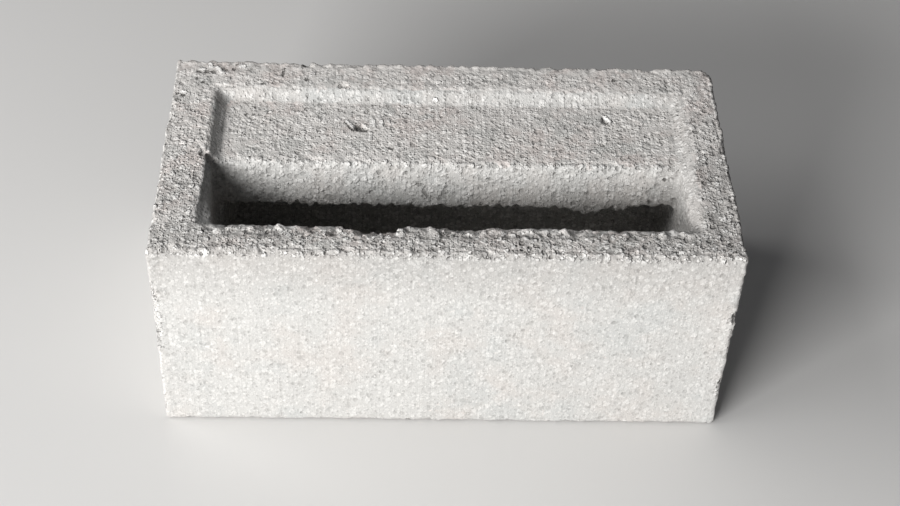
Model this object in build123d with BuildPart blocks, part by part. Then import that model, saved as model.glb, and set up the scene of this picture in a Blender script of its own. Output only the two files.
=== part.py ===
"""Ventilation block: a rectangular frame with one full length slat behind its mouth, cast in one piece."""
import os
from math import radians, tan

from build123d import *

# Outer size, measured at the mouth side
length = 395.0
width = 200.0
height = 170.0

# The outer sides open downwards a little, as the mould box did to come off
outer_draft = 0.3
outer_corner_radius = 3.0
outer_edge_radius = 1.5

# Rims of the frame. The core stood a little off the middle, towards +X
end_rim = 28.0
slat_side_rim = 29.0
slot_side_rim = 24.5
core_offset = 2.8

# Sloping band round the mouth
band_depth = 7.5
band_run = 7.5

# Slat: how far it reaches from the foot of the band, and how thick it is
slat_reach = 67.0
slat_thickness = 37.0
face_lean = 2.0
crest_radius = 3.5

# Rounding in the corners of the core
core_corner_radius = 4.0
slat_root_radius = 3.0

# Sizes that follow from the ones above
flare = height * tan(radians(outer_draft))
foot_length = length + 2 * flare
foot_width = width + 2 * flare
mouth_length = length - 2 * end_rim
mouth_width = width - slat_side_rim - slot_side_rim
core_length = mouth_length - 2 * band_run
core_width = mouth_width - 2 * band_run
core_y = (slot_side_rim - slat_side_rim) / 2
slat_wall_y = core_y + core_width / 2
slat_top_z = height - band_depth
slat_bottom_z = slat_top_z - slat_thickness
crest_y = slat_wall_y - slat_reach
lower_edge_y = crest_y - face_lean
slat_bite = (end_rim - core_offset) / 2

with BuildPart() as vent_block:
    # Outer body, wide side down
    with BuildSketch(Plane.XY):
        RectangleRounded(foot_length, foot_width, outer_corner_radius)
    extrude(amount=height, taper=outer_draft)
    top_face = vent_block.faces().sort_by(Axis.Z)[-1]
    foot_face = vent_block.faces().sort_by(Axis.Z)[0]
    fillet(top_face.edges() + foot_face.edges(), radius=outer_edge_radius)

    # Mouth, narrowing down its sloping band to the core
    with BuildSketch(Plane((core_offset, core_y, height))):
        RectangleRounded(mouth_length, mouth_width, core_corner_radius)
    with BuildSketch(Plane((core_offset, core_y, slat_top_z))):
        RectangleRounded(core_length, core_width, core_corner_radius)
    loft(ruled=True, mode=Mode.SUBTRACT)

    # Core, straight through to the underside
    with BuildSketch(Plane((core_offset, core_y, 0))):
        RectangleRounded(core_length, core_width, core_corner_radius)
    extrude(amount=slat_top_z, mode=Mode.SUBTRACT)

    # Slat, running into the end walls and the long wall behind it
    with BuildSketch(Plane.YZ.offset(core_offset)):
        with BuildLine():
            Polyline(
                (slat_wall_y + slat_bite, slat_top_z),
                (crest_y, slat_top_z),
                (lower_edge_y, slat_bottom_z),
                (slat_wall_y + slat_bite, slat_bottom_z),
                close=True,
            )
        make_face()
        crest = vertices().sort_by(Axis.X)[:2].sort_by(Axis.Y)[-1]
        fillet(crest, radius=crest_radius)
    extrude(amount=core_length / 2 + slat_bite, both=True)

    # Root of the slat on its underside, along the long wall and both ends
    underside = vent_block.faces().filter_by(Plane.XY).filter_by_position(
        Axis.Z, slat_bottom_z - 0.1, slat_bottom_z + 0.1
    )[0]
    free_edge = underside.edges().sort_by(Axis.Y)[0]
    fillet(underside.edges() - [free_edge], radius=slat_root_radius)

vent_block.part.label = "vent_block"

os.makedirs("parts", exist_ok=True)
export_step(vent_block.part, "parts/vent_block.step")
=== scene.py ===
"""Looks of the ventilation block: open-grained cast concrete, pale sides, worn edges."""

import math

import bpy
import numpy as np
from mathutils import Matrix, Vector


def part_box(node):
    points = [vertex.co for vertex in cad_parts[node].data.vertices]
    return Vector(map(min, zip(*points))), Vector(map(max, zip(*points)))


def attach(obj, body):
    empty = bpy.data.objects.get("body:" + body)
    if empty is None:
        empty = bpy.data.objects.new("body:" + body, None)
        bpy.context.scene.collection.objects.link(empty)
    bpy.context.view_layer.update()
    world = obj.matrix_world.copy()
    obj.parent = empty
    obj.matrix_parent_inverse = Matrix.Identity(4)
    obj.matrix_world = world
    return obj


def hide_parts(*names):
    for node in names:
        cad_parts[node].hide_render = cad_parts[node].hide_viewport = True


MM = 0.001

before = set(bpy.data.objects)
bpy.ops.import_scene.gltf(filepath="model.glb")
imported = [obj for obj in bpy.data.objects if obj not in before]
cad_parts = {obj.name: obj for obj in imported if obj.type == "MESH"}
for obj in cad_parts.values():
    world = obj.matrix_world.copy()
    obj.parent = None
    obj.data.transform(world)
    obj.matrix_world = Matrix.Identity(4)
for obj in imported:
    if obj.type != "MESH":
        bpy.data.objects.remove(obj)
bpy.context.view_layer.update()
cad_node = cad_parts["vent_block"]
low, high = (np.array(corner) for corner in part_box("vent_block"))

# Sizes of the block at its mouth side, in metres, as in the solid
HALF_LENGTH = 197.5 * MM
HALF_WIDTH = 100 * MM
END_RIM = 28 * MM
SLAT_SIDE_RIM = 29 * MM
SLOT_SIDE_RIM = 24.5 * MM
CORE_OFFSET = 2.8 * MM
BAND_DEPTH = 7.5 * MM
BAND_RUN = 7.5 * MM
SLAT_REACH = 67 * MM
SLAT_THICKNESS = 37 * MM
FACE_LEAN = 2 * MM

# Places on the block that the wear below refers to
TOP = high[2]
SLAT_TOP = TOP - BAND_DEPTH
SLAT_BOTTOM = SLAT_TOP - SLAT_THICKNESS
MOUTH_MIN = np.array([CORE_OFFSET + END_RIM - HALF_LENGTH, SLOT_SIDE_RIM - HALF_WIDTH])
MOUTH_MAX = np.array([CORE_OFFSET + HALF_LENGTH - END_RIM, HALF_WIDTH - SLAT_SIDE_RIM])
CORE_MIN = MOUTH_MIN + BAND_RUN
CORE_MAX = MOUTH_MAX - BAND_RUN
CREST_Y = CORE_MAX[1] - SLAT_REACH
LOWER_EDGE_Y = CREST_Y - FACE_LEAN

# The mesh that takes the relief, and how many cells the random patterns run before they repeat
VOXEL = 1.4 * MM
TRIANGLE_BUDGET = 190_000
PATTERN_CELLS = 32


def noise(points, cell, seed):
    """Gradient noise, about -1 to 1, with lumps about one cell across."""
    gradients = np.random.default_rng(seed).normal(size=(PATTERN_CELLS,) * 3 + (3,))
    place = points / cell
    corner0 = np.floor(place).astype(int)
    part = place - corner0
    fade = part**3 * (part * (part * 6 - 15) + 10)
    total = np.zeros(len(points))
    for corner in np.ndindex(2, 2, 2):
        gradient = gradients[tuple(((corner0 + corner) % PATTERN_CELLS).T)]
        weight = np.where(np.array(corner) == 1, fade, 1 - fade).prod(axis=1)
        total += weight * (gradient * (part - corner)).sum(axis=1)
    return total


def hollows(points, cell, seed, uneven=0.0):
    """Gaps between rounded grains about one cell apart: 0 on top of a grain, 1 at the bottom of a gap.
    With uneven above 0 the grains stand at heights of their own."""
    random = np.random.default_rng(seed)
    centres = random.random((PATTERN_CELLS,) * 3 + (3,))
    heights = 1 - uneven * random.random((PATTERN_CELLS,) * 3)
    place = points / cell
    corner0 = np.floor(place).astype(int)
    part = place - corner0
    top = np.zeros(len(points))
    for step in np.ndindex(3, 3, 3):
        offset = np.array(step) - 1
        cells = tuple(((corner0 + offset) % PATTERN_CELLS).T)
        away = ((centres[cells] + offset - part) ** 2).sum(axis=1)
        top = np.maximum(top, heights[cells] * np.clip(1 - 1.4 * away, 0, 1))
    return 1 - top


def ramp(value, start, end):
    """0 before start, 1 after end, smooth between them. start may be the larger."""
    t = np.clip((value - start) / (end - start), 0, 1)
    return t * t * (3 - 2 * t)


def bite(points, centre, radii, seed, rough=0.18):
    """Presses the points inside a rough, full ellipsoid out to its wall, as if a bit had broken off."""
    away = (points - centre) / radii
    reach = (np.abs(away) ** 2.6).sum(axis=1) ** (1 / 2.6)
    near = reach < 1.3
    wall = 1 + rough * noise(points[near], 4 * MM, seed)
    scale = np.maximum(wall / np.maximum(reach[near], 1e-6), 1)
    points[near] = centre + away[near] * scale[:, None] * radii
    return near


def remeshed(source):
    """The CAD node's shape as an even mesh that can take relief."""
    work = bpy.data.objects.new("work", source.data.copy())
    bpy.context.scene.collection.objects.link(work)
    remesh = work.modifiers.new("voxels", "REMESH")
    remesh.mode = "VOXEL"
    remesh.voxel_size = VOXEL
    remesh.adaptivity = 0
    mesh = bpy.data.meshes.new_from_object(work.evaluated_get(bpy.context.evaluated_depsgraph_get()))
    bpy.data.objects.remove(work)
    return mesh


def coordinates(mesh):
    points = np.empty(len(mesh.vertices) * 3)
    mesh.vertices.foreach_get("co", points)
    return points.reshape(-1, 3)


def normals(mesh):
    return np.array([n.vector for n in mesh.vertex_normals])


mesh = remeshed(cad_node)
points = coordinates(mesh)
facing = normals(mesh)
x, y, z = points.T.copy()

# Distance in from the outer sides, out from the mouth, and from each edge that wears
to_side = np.minimum(HALF_LENGTH - np.abs(x), HALF_WIDTH - np.abs(y))
from_mouth = np.maximum(MOUTH_MIN - points[:, :2], points[:, :2] - MOUTH_MAX).max(axis=1)
to_wall = np.minimum(points[:, :2] - CORE_MIN, CORE_MAX - points[:, :2]).min(axis=1)
outer_edge = np.hypot(to_side, TOP - z)
mouth_edge = np.hypot(from_mouth, TOP - z)
foot_edge = np.hypot(to_side, z)
upright_edge = np.hypot(HALF_LENGTH - np.abs(x), HALF_WIDTH - np.abs(y))
band_foot = np.where(y < CREST_Y - 4 * MM, np.hypot(to_wall, z - SLAT_TOP), 1.0)
crest_edge = np.hypot(y - CREST_Y, z - SLAT_TOP)
lower_edge = np.hypot(y - LOWER_EDGE_Y, z - SLAT_BOTTOM)

# Which kind of surface each point is on: struck off by hand, or cast against the mould
faces_up = ramp(facing[:, 2], 0.6, 0.9)
edge_run = np.minimum(to_side, from_mouth) - (TOP - z)
on_rim = ramp(edge_run, -4 * MM, 4 * MM) * ramp(z, TOP - 6 * MM, TOP - 4 * MM)
behind_crest = np.minimum(y - CREST_Y - 3 * MM, to_wall - 1 * MM)
on_slat = faces_up * ramp(behind_crest, -2.5 * MM, 2.5 * MM) * (np.abs(z - SLAT_TOP) < 2 * MM)
on_underside = ramp(-facing[:, 2], 0.75, 0.95)
on_band = ramp(from_mouth, 1 * MM, -1 * MM) * ramp(z, SLAT_TOP + 0.5 * MM, SLAT_TOP + 2 * MM)
# Painted shade: the inner walls below the slat get a darker colour that stands for the shade down in
# the core
core_shade_mask = ramp(to_wall, -1.5 * MM, -0.5 * MM) * ramp(z, SLAT_BOTTOM + 10 * MM, SLAT_BOTTOM - 25 * MM)

# Relief. The inner faces move both ways; the outer ones only inwards, to stay inside the CAD box,
# but for the sides' upper part, which stands a little proud
lumps = hollows(points, 6.5 * MM, 1)
small_lumps = hollows(points, 3.8 * MM, 2)
stones = hollows(points, 5.5 * MM, 6, uneven=0.7)
medium = noise(points, 9 * MM, 3)
slow = noise(points, 45 * MM, 4)
inner_face = ramp(to_wall, -3 * MM, -1 * MM) * (1 - on_slat)
inside = np.maximum(inner_face, on_slat)
outer_side = ramp(to_side, 3 * MM, 1 * MM) * (1 - inside)
depth = MM * (0.12 * (1 + medium) + 0.25 * (1 + slow) + 0.2 * small_lumps)
depth += inner_face * MM * (0.35 * small_lumps + 0.45 * lumps - 0.4)
depth += on_rim * MM * (0.3 * lumps + 0.45 * small_lumps + 0.3 * stones + 0.15 * (1 + medium))
depth += on_slat * MM * (0.15 * lumps + 0.25 * small_lumps + 0.1 * medium - 0.2)
depth += on_underside * MM * (0.3 * lumps + 0.3 * small_lumps)
depth -= inside * 0.4 * MM + on_rim * 0.3 * MM
depth -= outer_side * MM * (0.2 + 0.6 * ramp(z, 85 * MM, 135 * MM))

# Edges crumble, more in some stretches than in others, square across the edge
crumble = np.clip(0.15 + 1.1 * noise(points, 11 * MM, 5) + 0.5 * slow, 0, 2) + 0.8 * lumps
depth += 1.0 * MM * (crumble - 0.4) * ramp(band_foot, 5 * MM, 0)
depth += 1.3 * MM * (lumps + stones - 1.0) * ramp(crest_edge, 8 * MM, 1 * MM)
points -= facing * depth[:, None]


def over_edge(out_x, out_y, up):
    """Unit vectors out across an edge: an upright edge with up 0, else one round a level face."""
    level = np.column_stack([out_x, out_y]) + 1e-9
    level /= np.linalg.norm(level, axis=1)[:, None]
    return np.column_stack([level, np.full(len(level), up)]) / math.hypot(1, up)


near_x = np.sign(x) * ramp(np.abs(x), HALF_LENGTH - 9 * MM, HALF_LENGTH)
near_y = np.sign(y) * ramp(np.abs(y), HALF_WIDTH - 9 * MM, HALF_WIDTH)
to_rear = ramp(y, 60 * MM, 95 * MM)
worn = MM * (1.0 * crumble + 0.8 * lumps + 0.8 * small_lumps - 0.3) * (1 - 0.6 * to_rear)
worn *= ramp(outer_edge, 6 * MM, 0)
worn += MM * (2.4 * stones - 1.2) * ramp(np.hypot(y + HALF_WIDTH, TOP - z), 7 * MM, 1 * MM)
worn += MM * (2.2 * stones - 1.3) * ramp(np.hypot(y - HALF_WIDTH, TOP - z), 6 * MM, 1 * MM)
points -= over_edge(near_x, near_y, 1) * worn[:, None]
worn = 1.0 * MM * crumble * ramp(foot_edge, 6 * MM, 0)
points -= over_edge(near_x, near_y, -1) * worn[:, None]
worn = MM * (0.9 * noise(points, 16 * MM, 10) + 0.8 * noise(points, 6 * MM, 11) - 0.8)
worn *= ramp(upright_edge, 7 * MM, 0)
points -= over_edge(near_x, near_y, 0) * worn[:, None]
into_x = ramp(x, MOUTH_MIN[0] + 9 * MM, MOUTH_MIN[0]) - ramp(x, MOUTH_MAX[0] - 9 * MM, MOUTH_MAX[0])
into_y = ramp(y, MOUTH_MIN[1] + 9 * MM, MOUTH_MIN[1]) - ramp(y, MOUTH_MAX[1] - 9 * MM, MOUTH_MAX[1])
worn = MM * (0.6 * crumble + 0.6 * small_lumps) * ramp(mouth_edge, 3 * MM, 0)
points -= over_edge(into_x, into_y, 1) * worn[:, None]

# Left end of the slot: its wall stands a few millimetres further out under the crest than at the front
slot_end = ramp(x, -150 * MM, -157 * MM) * (x > -172 * MM) * ramp(y, -2 * MM, -5 * MM)
slot_end *= ramp(y, -66 * MM, -25 * MM)
points[:, 0] -= 5 * MM * slot_end * ramp(z, 95 * MM, 120 * MM) * ramp(z, TOP, TOP - 5 * MM)

# The mouth's left edge runs out a little towards the front, over the same end wall
mouth_end = ramp(x, -183 * MM, -169 * MM) * ramp(x, -156 * MM, -161 * MM) * ramp(y, -30 * MM, -60 * MM)
points[:, 0] -= 2.2 * MM * mouth_end * ramp(z, SLAT_TOP - 3 * MM, TOP - 1 * MM) * (y > -90 * MM)

# Lower edge of the slat: it sagged and broke a little as the core was drawn, most towards the right
near_edge = ramp(lower_edge, 18 * MM, 2 * MM)
along = np.column_stack([x, np.zeros(len(points)), np.zeros(len(points))])
ragged = 1.3 * noise(along, 24 * MM, 7) + 1.3 * noise(along, 9 * MM, 8)
ragged += 3.4 * noise(points, 4.5 * MM, 9)
ragged -= 1.6 * (stones - 0.6)
tooth = -5.5 * np.exp(-(((x - 103 * MM) / (11 * MM)) ** 2))
lifted = 3.0 * ramp(x, 118 * MM, 145 * MM)
points[:, 2] += near_edge * MM * (ragged + tooth + lifted - 1.2)

# Bits broken off, by their middle and half sizes in mm: the scoop in the front rim's inner edge, then
# smaller ones
BITES = [
    ((-48, -66, 172), (18, 16.5, 16)),
    ((-36.5, -66, 172), (5.5, 16.5, 15)),
    ((-55, -66, 172), (8, 16.3, 15)),
    ((-64, -66, 172), (10, 12.6, 12)),
    ((10, -66, 173), (22, 12.6, 13)),
    ((-61, 34, 163.5), (5, 3, 3.5)),
    ((115, 47, 163.5), (2.5, 4, 3)),
    ((-102.5, 100, 171), (3.4, 5, 5)),
    ((30, 84, 171.5), (3, 2.5, 3.5)),
    ((-74, 74, 171), (4, 3, 3)),
    ((-169, -3, 170.5), (4, 3.5, 4)),
    ((-164, -4.5, 166.5), (5, 3.5, 5)),
    ((203, 104, 174), (13, 13, 11)),
    ((-201, -103, 108), (6, 6, 30)),
    ((201, -103, 113), (6.6, 6.6, 6)),
    ((201, -103, 92), (4.8, 4.8, 10)),
    ((201, -103, 40), (4.6, 4.6, 12)),
]

# Chips along the edges, in mm: from, to, how many, the range of their half length and of their radius
CHIPPED_EDGES = [
    ((-196, -101, 171), (196, -101, 171), 64, (1.5, 5.0), (1.6, 3.7)),
    ((-156, -66, 172), (161, -66, 172), 13, (2.5, 6.0), (8.6, 11.0)),
    ((-156, -2.5, 164.5), (161, -2.5, 164.5), 34, (1.2, 3.5), (1.6, 3.2)),
    ((-196, 101, 171), (196, 101, 171), 30, (1.5, 4.5), (1.4, 2.6)),
    ((-198.5, -98, 171), (-198.5, 98, 171), 20, (1.5, 4.0), (1.6, 3.0)),
    ((198.5, -98, 171), (198.5, 98, 171), 22, (1.5, 4.5), (1.6, 3.4)),
    ((-198.5, -101, 10), (-198.5, -101, 165), 5, (1.5, 8.0), (1.6, 3.0)),
    ((198.5, -101, 10), (198.5, -101, 165), 4, (1.5, 8.0), (1.6, 2.8)),
    ((-198.5, 101, 10), (-198.5, 101, 165), 6, (1.5, 9.0), (1.6, 3.2)),
    ((198.5, 101, 10), (198.5, 101, 165), 6, (1.5, 9.0), (1.6, 3.2)),
    ((-196, -101.5, -1), (196, -101.5, -1), 26, (1.5, 5.0), (1.6, 3.0)),
    ((-196, 101.5, -1), (196, 101.5, -1), 26, (1.5, 5.0), (1.6, 3.0)),
    ((-199, -98, -1), (-199, 98, -1), 14, (1.5, 5.0), (1.6, 3.0)),
    ((199, -98, -1), (199, 98, -1), 14, (1.5, 5.0), (1.6, 3.0)),
]
CHIP_SEED = 40
FIRST_BITE_SEED = 50
bites = list(BITES)
random = np.random.default_rng(CHIP_SEED)
for start, end, count, half_lengths, reaches in CHIPPED_EDGES:
    start, end = np.array(start), np.array(end)
    for share in (np.arange(count) + random.random(count)) / count:
        centre = start + share * (end - start) + random.uniform(-0.5, 0.5, 3)
        radii = np.where(start == end, random.uniform(*reaches), random.uniform(*half_lengths))
        bites.append((centre, radii))
broken = np.zeros(len(points))
for seed, (centre, radii) in enumerate(bites, start=FIRST_BITE_SEED):
    broken[bite(points, np.array(centre) * MM, np.array(radii) * MM, seed)] = 1

# The front rim's inner edge crumbles all along, and so do the bits broken off it
from_ends = np.minimum(x - MOUTH_MIN[0], MOUTH_MAX[0] - x)
from_edge = np.hypot(np.maximum(points[:, 1] - MOUTH_MIN[1], 0), TOP - points[:, 2])
from_edge = np.maximum(from_edge, MOUTH_MIN[1] - 3 * MM - points[:, 1])
front_mouth = ramp(from_edge, 8 * MM, 1 * MM) * ramp(from_ends, 2 * MM, 10 * MM)
front_mouth *= y < MOUTH_MIN[1] + 12 * MM
worn = MM * (1.2 * noise(points, 8 * MM, 12) + 1.8 * noise(points, 4.5 * MM, 13) + 2.6 * stones - 0.9)
worn *= front_mouth
points -= over_edge(into_x, into_y, 1) * worn[:, None]

points = np.clip(points, low, high)
mesh.vertices.foreach_set("co", points.ravel())

# What the material reads. The rims' grain is more open towards the front
broken_inside = 0.75 * broken * ramp(to_side, 3 * MM, 8 * MM)
struck = np.clip(np.maximum.reduce([on_rim, on_slat, on_underside, broken_inside]), 0, 1)
to_front_right = 0.43 * ramp(y, 60 * MM, -80 * MM) + 0.14 * ramp(x, 120 * MM, 185 * MM)
rim_grain = 0.38 + to_front_right + 0.15 * slow
rim_grain -= 0.25 * ramp(y, 88 * MM, 95 * MM)
rim_grain -= 0.08 * ramp(y, 55 * MM, 75 * MM)
open_grain = on_rim * rim_grain + 0.38 * on_slat + 0.6 * on_underside
near_rim = (0.75 + 0.2 * (y < 0) - 0.4 * to_rear) * ramp(outer_edge, 8 * MM, 2 * MM) * (1 - on_rim)
on_crest = 0.6 * ramp(crest_edge, 6 * MM, 2 * MM)
where_broken = 0.7 * broken * (1 - 0.5 * to_rear)
cast_grain = [0.10 * outer_side, 0.42 * inner_face, 0.34 * on_band]
open_grain = np.maximum.reduce([open_grain, *cast_grain, on_crest, near_rim, where_broken])
front_edge = ramp(np.hypot(y + HALF_WIDTH, TOP - z), 5 * MM, 1.5 * MM) * (1 - 0.6 * on_rim)
# Painted shade at the right end of the core: its inner walls and band are darkened
right_end_shade = 0.6 * np.maximum(inner_face, on_band) * ramp(x, 140 * MM, 160 * MM) * (x < 175 * MM)
dull_and_painted_shade = np.maximum.reduce([0.6 * outer_side * ramp(z, 110 * MM, TOP), 0.9 * front_edge, right_end_shade])
read = {"struck": struck, "open_grain": np.clip(open_grain, 0, 1), "core_shade_mask": core_shade_mask, "dull_and_painted_shade": dull_and_painted_shade}
for name, values in read.items():
    mesh.attributes.new(name, "FLOAT", "POINT").data.foreach_set("value", values.astype(np.float32))
mesh.update()

block = bpy.data.objects.new("cast_block", mesh)
bpy.context.scene.collection.objects.link(block)
thin = block.modifiers.new("thin", "DECIMATE")
thin.ratio = TRIANGLE_BUDGET / (2 * len(mesh.polygons))
reduced = bpy.data.meshes.new_from_object(block.evaluated_get(bpy.context.evaluated_depsgraph_get()))
reduced.vertices.foreach_set("co", np.clip(coordinates(reduced), low, high).ravel())
block.modifiers.clear()
block.data = reduced
reduced.name = "cast_block"
reduced.shade_smooth()


class Shader:
    """Short names for the few node types that the materials are made of."""

    def __init__(self, name):
        self.material = bpy.data.materials.new(name)
        self.material.use_nodes = True
        self.tree = self.material.node_tree
        self.bsdf = self.tree.nodes["Principled BSDF"]
        self.place = self.tree.nodes.new("ShaderNodeTexCoord").outputs["Object"]

    def link(self, value, socket):
        if hasattr(value, "is_output"):
            self.tree.links.new(value, socket)
        else:
            socket.default_value = value

    def attribute(self, name):
        node = self.tree.nodes.new("ShaderNodeAttribute")
        node.attribute_name = name
        return node.outputs["Fac"]

    def noise(self, size, detail=4.0, rough=0.6):
        """Noise whose lumps are about size metres across."""
        node = self.tree.nodes.new("ShaderNodeTexNoise")
        self.link(self.place, node.inputs["Vector"])
        node.inputs["Scale"].default_value = 1 / size
        node.inputs["Detail"].default_value = detail
        node.inputs["Roughness"].default_value = rough
        return node.outputs["Fac"]

    def grains(self, size):
        """Grains about size metres apart: the distance to the grain's middle, and a shade for each."""
        node = self.tree.nodes.new("ShaderNodeTexVoronoi")
        self.link(self.place, node.inputs["Vector"])
        node.inputs["Scale"].default_value = 1 / size
        split = self.tree.nodes.new("ShaderNodeSeparateColor")
        self.link(node.outputs["Color"], split.inputs["Color"])
        return node.outputs["Distance"], split.outputs["Red"]

    def vector(self, operation, a, b=None):
        """Vector maths. The second value is a number for SCALE and a vector for the others."""
        node = self.tree.nodes.new("ShaderNodeVectorMath")
        node.operation = operation
        self.link(a, node.inputs[0])
        if b is not None:
            self.link(b, node.inputs["Scale" if operation == "SCALE" else 1])
        return node.outputs["Value" if operation in ("LENGTH", "DOT_PRODUCT") else "Vector"]

    def stroke(self, start, end, radius, wobble):
        """1 along a short straight mark from start to end, 0 away from it."""
        start, end = Vector(start) * MM, Vector(end) * MM
        run = end - start
        here = self.vector("SUBTRACT", self.place, start)
        share = self.math("DIVIDE", self.vector("DOT_PRODUCT", here, run), run.length_squared)
        share = self.math("MINIMUM", self.math("MAXIMUM", share, 0.0), 1.0)
        away = self.vector("LENGTH", self.vector("SUBTRACT", here, self.vector("SCALE", run, share)))
        return self.step(self.math("ADD", away, wobble), radius * MM, radius * 0.45 * MM)

    def spot(self, centre, radius, wobble):
        """1 in a small round place, 0 away from it."""
        away = self.vector("LENGTH", self.vector("SUBTRACT", self.place, Vector(centre) * MM))
        return self.step(self.math("ADD", away, wobble), radius * MM, radius * 0.45 * MM)

    def step(self, value, start, end, low=0.0, high=1.0):
        """Maps start..end to low..high, smoothly."""
        node = self.tree.nodes.new("ShaderNodeMapRange")
        node.interpolation_type = "SMOOTHSTEP"
        self.link(value, node.inputs["Value"])
        node.inputs["From Min"].default_value = start
        node.inputs["From Max"].default_value = end
        node.inputs["To Min"].default_value = low
        node.inputs["To Max"].default_value = high
        return node.outputs["Result"]

    def math(self, operation, a, b=0.0):
        node = self.tree.nodes.new("ShaderNodeMath")
        node.operation = operation
        self.link(a, node.inputs[0])
        self.link(b, node.inputs[1])
        return node.outputs[0]

    def mix(self, amount, a, b, blend="MIX"):
        node = self.tree.nodes.new("ShaderNodeMix")
        node.data_type = "RGBA"
        node.blend_type = blend
        self.link(amount, node.inputs["Factor"])
        self.link(a, node.inputs["A"])
        self.link(b, node.inputs["B"])
        return node.outputs["Result"]

    def bump(self, height, distance, strength=1.0, after=None):
        node = self.tree.nodes.new("ShaderNodeBump")
        node.inputs["Distance"].default_value = distance
        self.link(strength, node.inputs["Strength"])
        self.link(height, node.inputs["Height"])
        if after is not None:
            self.link(after, node.inputs["Normal"])
        return node.outputs["Normal"]


def colour(r, g, b):
    return (r, g, b, 1.0)


# Concrete, as linear colours
PALE = colour(0.525, 0.516, 0.497)
PALE_WARM = colour(0.532, 0.508, 0.483)
PALE_COOL = colour(0.500, 0.499, 0.484)
STRUCK = colour(0.655, 0.63, 0.602)
STRUCK_WARM = colour(0.60, 0.55, 0.52)
STRUCK_GREY = colour(0.55, 0.537, 0.514)
STRUCK_DARK = colour(0.37, 0.354, 0.338)
# Painted shade for the lower inner walls of the core
PAINTED_SHADE_IN_CORE = colour(0.39, 0.381, 0.363)
GRAIN_LIGHT = colour(0.80, 0.785, 0.76)
CRUMB = colour(0.90, 0.88, 0.85)
# Painted shade for the pits between grains and in the gouges, pits and scratches
PAINTED_PIT_SHADE = colour(0.10, 0.093, 0.085)

shader = Shader("concrete")
ragged_limit = shader.math("MULTIPLY", shader.math("SUBTRACT", shader.noise(4.5 * MM, 2.0), 0.5), 2.4)
struck_here = shader.step(shader.math("ADD", shader.attribute("struck"), ragged_limit), 0.35, 0.65)
open_grain_here = shader.attribute("open_grain")


def by_openness(closed, open_):
    """A value that goes from one on the closest-grained surface to another on the most open."""
    return shader.step(open_grain_here, 0, 1, closed, open_)


pale = shader.mix(shader.step(shader.noise(0.05, 4.0), 0.45, 0.65), PALE, PALE_WARM)
pale = shader.mix(shader.step(shader.noise(0.04, 5.0, 0.5), 0.52, 0.68), pale, PALE_COOL)
struck = shader.mix(shader.step(shader.noise(0.03, 4.0), 0.47, 0.62), STRUCK, STRUCK_WARM)
struck = shader.mix(shader.step(shader.noise(0.022, 4.0, 0.5), 0.50, 0.65), struck, STRUCK_GREY)
base = shader.mix(struck_here, pale, struck)
# Painted shade: the core's inner walls below the slat are mixed to a darker grey
base = shader.mix(shader.attribute("core_shade_mask"), base, PAINTED_SHADE_IN_CORE)

# The sides are darker towards the top and at the front top edge, the right end of the core is darkened
# as painted shade, and the rims are darkest where their grain is most open
base = shader.mix(shader.attribute("dull_and_painted_shade"), base, STRUCK_DARK)
base = shader.mix(shader.step(open_grain_here, 0.60, 0.95, 0.0, 0.55), base, STRUCK_DARK)
mottle = shader.noise(9 * MM, 3.0, 0.55)
base = shader.mix(shader.step(mottle, 0.42, 0.30, 0.0, 0.30), base, STRUCK_DARK)

# Sand and fine gravel: some grains stand out light, and pits lie between them, painted dark as the
# shade in them. For each size, how much light grains and pits show where the grain is closed and where
# it is open, and their relief
GRAIN_SIZES = [
    (4.8 * MM, (0.22, 0.80), (0.15, 0.45), 1.3 * MM),
    (2.8 * MM, (0.25, 0.78), (0.17, 0.45), 1.0 * MM),
    (1.5 * MM, (0.26, 0.60), (0.16, 0.35), 0.5 * MM),
]
relief = shader.bump(shader.noise(2.0 * MM, 3.0, 0.65), 1.0 * MM, by_openness(0.35, 0.9))
for size, light, dark, rise in GRAIN_SIZES:
    out, shade = shader.grains(size)
    middle = shader.step(out, 0.55, 0.30)
    stands_out = shader.math("MULTIPLY", middle, shader.step(shade, 0.55, 0.75))
    pit = shader.math("MULTIPLY", middle, shader.step(shade, 0.30, 0.15))
    base = shader.mix(shader.math("MULTIPLY", stands_out, by_openness(*light)), base, GRAIN_LIGHT)
    base = shader.mix(shader.math("MULTIPLY", pit, by_openness(*dark)), base, PAINTED_PIT_SHADE)
    height = shader.math("SUBTRACT", stands_out, pit)
    relief = shader.bump(height, rise, by_openness(0.2, 1.0), after=relief)

# Marks of use: gouges and crumbs on top of the slat, scratches down its face, pits in the rims.
# Strokes are given by their ends and spots by their middle, then the radius, all in mm
wobble = shader.math("MULTIPLY", shader.math("SUBTRACT", shader.noise(1.5 * MM, 2.0), 0.5), 3.5 * MM)
GOUGES = [
    ((-72.4, 40.1, 162), (-66.6, 31.9, 162), 1.2),
    ((-64.2, 36.2, 162), (-57.7, 32.2, 162), 2.5),
    ((-40.0, 13.2, 162), (-38.5, 12.5, 162), 1.8),
    ((113.4, 50.7, 162), (116.7, 44.1, 162), 1.4),
    ((-118.3, 92.5, 168.6), (-119.3, 84.4, 168.6), 1.1),
]
SCRATCHES = [
    ((0.1, -4.5, 142.9), (-4.3, -5.2, 131.0), 1.5),
    ((-16.0, -4.7, 139.1), (-12.9, -5.0, 133.8), 1.4),
    ((-20.5, -4.5, 144.4), (-17.0, -4.5, 144.0), 1.5),
]
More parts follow.
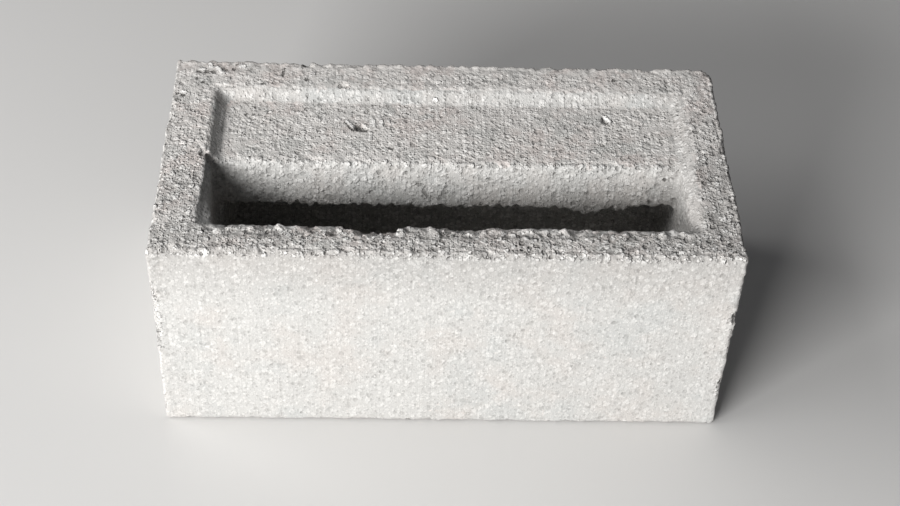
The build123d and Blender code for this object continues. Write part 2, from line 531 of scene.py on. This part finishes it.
PITS = [
    ((-180.4, 87.5, 168.4), 2.5),
    ((-174.8, 87.7, 168.4), 2.6),
    ((-169.8, 87.4, 168.4), 2.6),
    ((-162.2, 89.9, 168.4), 2.8),
    ((-155.5, 90.5, 168.4), 2.4),
    ((-153.1, 96.1, 168.4), 2.1),
    ((-181.3, 79.8, 168.4), 2.0),
    ((-176.2, 75.5, 168.4), 2.1),
    ((-189.4, 60.1, 168.4), 2.4),
    ((-193.7, 62.6, 168.4), 1.9),
    ((-193.0, 55.7, 168.4), 1.9),
    ((-132.1, 75.0, 168.4), 2.0),
    ((-101.6, 80.8, 168.6), 2.5),
    ((-143.5, 47.8, 161.8), 2.0),
    ((-137.7, 48.0, 161.8), 1.7),
    ((-138.0, 55.8, 161.8), 1.6),
    ((124.6, 86.0, 168.4), 2.4),
    ((154.4, -4.0, 152.0), 1.6),
]
CRUMBS = [
    ((-71.0, 42.0, 162.2), (-66.2, 35.5, 162.2), 2.0),
    ((-52.4, 38.0, 162.2), (-52.4, 43.0, 162.2), 2.9),
    ((-46.3, 38.5, 162.2), (-46.3, 42.5, 162.2), 2.2),
    ((-41.0, 42.0, 162.2), (-41.0, 44.0, 162.2), 1.8),
    ((115.5, 52.0, 162.2), (118.8, 46.8, 162.2), 2.2),
    ((-173.0, 96.5, 168.8), (-172.0, 93.5, 168.8), 2.8),
    ((-168.0, 93.0, 168.8), (-163.0, 86.5, 168.8), 2.6),
    ((-179.5, 90.7, 168.8), (-177.5, 90.7, 168.8), 2.6),
    ((-150.5, 94.8, 168.8), (-148.5, 94.8, 168.8), 2.8),
    ((-190.3, 64.5, 168.8), (-188.5, 64.5, 168.8), 2.6),
    ((-8.0, 65.8, 164.0), (-7.0, 65.8, 164.0), 2.4),
]


def any_of(shapes):
    """1 in any of the shapes."""
    total = 0.0
    for shape in shapes:
        total = shader.math("MAXIMUM", shape, total)
    return total


gouged = [shader.stroke(*gouge, wobble) for gouge in GOUGES]
pitted = [shader.spot(*pit, wobble) for pit in PITS]
sunk = any_of(gouged + pitted)
scratched = any_of([shader.stroke(*scratch, wobble) for scratch in SCRATCHES])
sunk = shader.math("MAXIMUM", sunk, shader.math("MULTIPLY", scratched, 0.6))
crumbs = any_of([shader.stroke(*crumb, wobble) for crumb in CRUMBS])
# Painted shade: gouges, pits and scratches are darkened as the shade in these hollows
base = shader.mix(shader.math("MULTIPLY", sunk, 0.8), base, PAINTED_PIT_SHADE)
base = shader.mix(crumbs, base, CRUMB)
relief = shader.bump(shader.math("SUBTRACT", crumbs, sunk), 1.4 * MM, after=relief)
shader.link(base, shader.bsdf.inputs["Base Color"])
shader.link(relief, shader.bsdf.inputs["Normal"])
shader.bsdf.inputs["Roughness"].default_value = 0.93
shader.bsdf.inputs["Specular IOR Level"].default_value = 0.2

block.data.materials.clear()
block.data.materials.append(shader.material)
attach(block, "root")
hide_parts("vent_block")

# Floor
FLOOR_SIZE = 14
bpy.ops.mesh.primitive_plane_add(size=FLOOR_SIZE)
floor = bpy.context.object
floor.name = "floor"
ground = Shader("floor")
ground.link(colour(0.66, 0.65, 0.635), ground.bsdf.inputs["Base Color"])
ground.bsdf.inputs["Roughness"].default_value = 0.8
floor.data.materials.append(ground.material)

# Light: a broad soft source low in front on the left, a weaker one above on the left, and a pale sky
FRONT_WAY = Vector((-0.72, -1.0, 0.425)).normalized()
FRONT_AWAY = 3.0
FRONT_SIZE = (1.7, 1.0)
FRONT_POWER = 128
TOP_PLACE = Vector((-2.1, -0.2, 2.0))
TOP_SIZE = (2.2, 1.4)
TOP_POWER = 38
SKY_STRENGTH = 0.085


def area_light(name, place, target, size, power):
    data = bpy.data.lights.new(name, "AREA")
    data.shape = "RECTANGLE"
    data.size, data.size_y = size
    data.energy = power
    light = bpy.data.objects.new(name, data)
    light.location = place
    light.rotation_euler = (Vector(target) - Vector(place)).to_track_quat("-Z", "Y").to_euler()
    bpy.context.scene.collection.objects.link(light)


MIDDLE = Vector((0, 0, 0.1))
area_light("front_light", MIDDLE + FRONT_WAY * FRONT_AWAY, MIDDLE, FRONT_SIZE, FRONT_POWER)
area_light("top_light", TOP_PLACE, MIDDLE, TOP_SIZE, TOP_POWER)
world = bpy.data.worlds.new("sky")
world.use_nodes = True
world.node_tree.nodes["Background"].inputs["Color"].default_value = colour(0.93, 0.95, 1.0)
world.node_tree.nodes["Background"].inputs["Strength"].default_value = SKY_STRENGTH
bpy.context.scene.world = world
bpy.context.scene.view_settings.view_transform = "Standard"

# Camera, from where the photograph was taken, brought nearer by a longer lens
CAMERA_PLACE = Vector((-37.5, -872.9, 924.3)) * MM
AIM = Vector((0.004, -0.028, 0.100))
ROLL = math.radians(2.8)
PHOTO_LENS_MM = 32.2
ENLARGE = 2.05
camera = bpy.data.objects.new("camera", bpy.data.cameras.new("camera"))
camera.data.sensor_width = 36
camera.data.lens = PHOTO_LENS_MM * ENLARGE
look = (AIM - CAMERA_PLACE).to_track_quat("-Z", "Y").to_matrix().to_4x4()
camera.matrix_world = Matrix.Translation(CAMERA_PLACE) @ look @ Matrix.Rotation(ROLL, 4, "Z")
bpy.context.scene.collection.objects.link(camera)
bpy.context.scene.camera = camera
